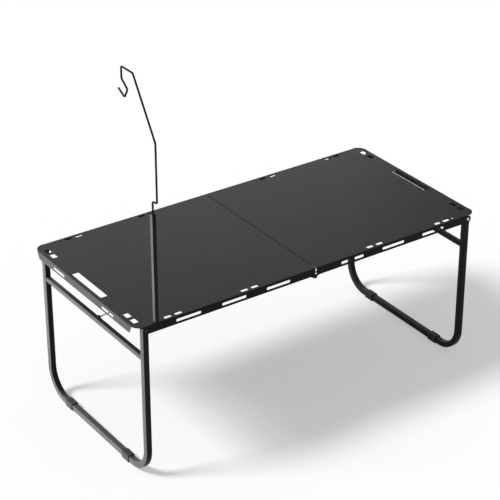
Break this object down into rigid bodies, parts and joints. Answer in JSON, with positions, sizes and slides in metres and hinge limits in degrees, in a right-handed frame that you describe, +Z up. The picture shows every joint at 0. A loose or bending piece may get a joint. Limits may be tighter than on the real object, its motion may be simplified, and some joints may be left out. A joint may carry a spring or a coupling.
{
  "type": "folding camp table",
  "caption": "Folding camp table of black powder-coated steel with slotted trays, swing-in tube legs, wire leg locks and a lantern hanger on a corner post.",
  "frame": {"origin": "on the floor under the middle of the table, where the two halves meet", "axes": "+X along the table to the half without the hanger, +Y from the front to the back, +Z up"},
  "size_m": [1.2, 0.5866, 1.1992],
  "materials": {
    "tray_powder_coat": "semi-gloss",
    "frame_powder_coat": "semi-gloss",
    "black_plastic": "matte",
    "zinc_steel": "satin"
  },
  "bodies": {
    "left_half": {"hanger_base_plug": "zinc_steel", "hanger_base_screw": "zinc_steel", "hanger_post": "frame_powder_coat", "hanger_post_cap": "black_plastic", "hinge_pin_back": "frame_powder_coat", "hinge_pin_front": "frame_powder_coat", "hinge_plate_back_left": "frame_powder_coat", "hinge_plate_front_left": "frame_powder_coat", "hinge_rivet_back_left_inner": "frame_powder_coat", "hinge_rivet_back_left_outer": "frame_powder_coat", "hinge_rivet_front_left_inner": "frame_powder_coat", "hinge_rivet_front_left_outer": "frame_powder_coat", "hinge_washer_back": "black_plastic", "hinge_washer_front": "black_plastic", "left_back_leg_rivet": "zinc_steel", "left_back_leg_washer": "black_plastic", "left_front_leg_rivet": "zinc_steel", "left_front_leg_washer": "black_plastic", "left_tray": "tray_powder_coat"},
    "right_half": {"hinge_plate_back_right": "frame_powder_coat", "hinge_plate_front_right": "frame_powder_coat", "hinge_rivet_back_right_inner": "frame_powder_coat", "hinge_rivet_back_right_outer": "frame_powder_coat", "hinge_rivet_front_right_inner": "frame_powder_coat", "hinge_rivet_front_right_outer": "frame_powder_coat", "right_back_leg_rivet": "zinc_steel", "right_back_leg_washer": "black_plastic", "right_front_leg_rivet": "zinc_steel", "right_front_leg_washer": "black_plastic", "right_tray": "tray_powder_coat"},
    "left_leg": {"left_back_foot_sleeve": "black_plastic", "left_crossbar": "frame_powder_coat", "left_front_foot_sleeve": "black_plastic", "left_hook_tab": "frame_powder_coat", "left_leg_frame": "frame_powder_coat"},
    "right_leg": {"right_back_foot_sleeve": "black_plastic", "right_crossbar": "frame_powder_coat", "right_front_foot_sleeve": "black_plastic", "right_hook_tab": "frame_powder_coat", "right_leg_frame": "frame_powder_coat"},
    "left_hook": {"left_hook_clip": "zinc_steel", "left_lock_hook": "zinc_steel"},
    "right_hook": {"right_hook_clip": "zinc_steel", "right_lock_hook": "zinc_steel"},
    "lantern_hanger": {"hanger_rod": "frame_powder_coat"}
  },
  "joints": [
    {"name": "table_fold", "type": "hinge", "parent": "left_half", "child": "right_half", "pos_m": [0, 0, 0.4715], "axis": [0, 1, 0], "range_deg": [0, 95]},
    {"name": "left_leg_fold", "type": "hinge", "parent": "left_half", "child": "left_leg", "pos_m": [-0.5674, 0, 0.4875], "axis": [0, -1, 0], "range_deg": [0, 89]},
    {"name": "right_leg_fold", "type": "hinge", "parent": "right_half", "child": "right_leg", "pos_m": [0.5674, 0, 0.4875], "axis": [0, 1, 0], "range_deg": [0, 89]},
    {"name": "left_hook_swing", "type": "hinge", "parent": "left_leg", "child": "left_hook", "pos_m": [-0.5674, -0.03, 0.408], "axis": [1, 0, 0], "range_deg": [0, 35]},
    {"name": "right_hook_swing", "type": "hinge", "parent": "right_leg", "child": "right_hook", "pos_m": [0.5674, -0.03, 0.408], "axis": [1, 0, 0], "range_deg": [0, 35]},
    {"name": "hanger_swivel", "type": "hinge", "parent": "left_half", "child": "lantern_hanger", "pos_m": [-0.531, -0.276, 0.8263], "axis": [0, 0, 1], "continuous": true}
  ]
}
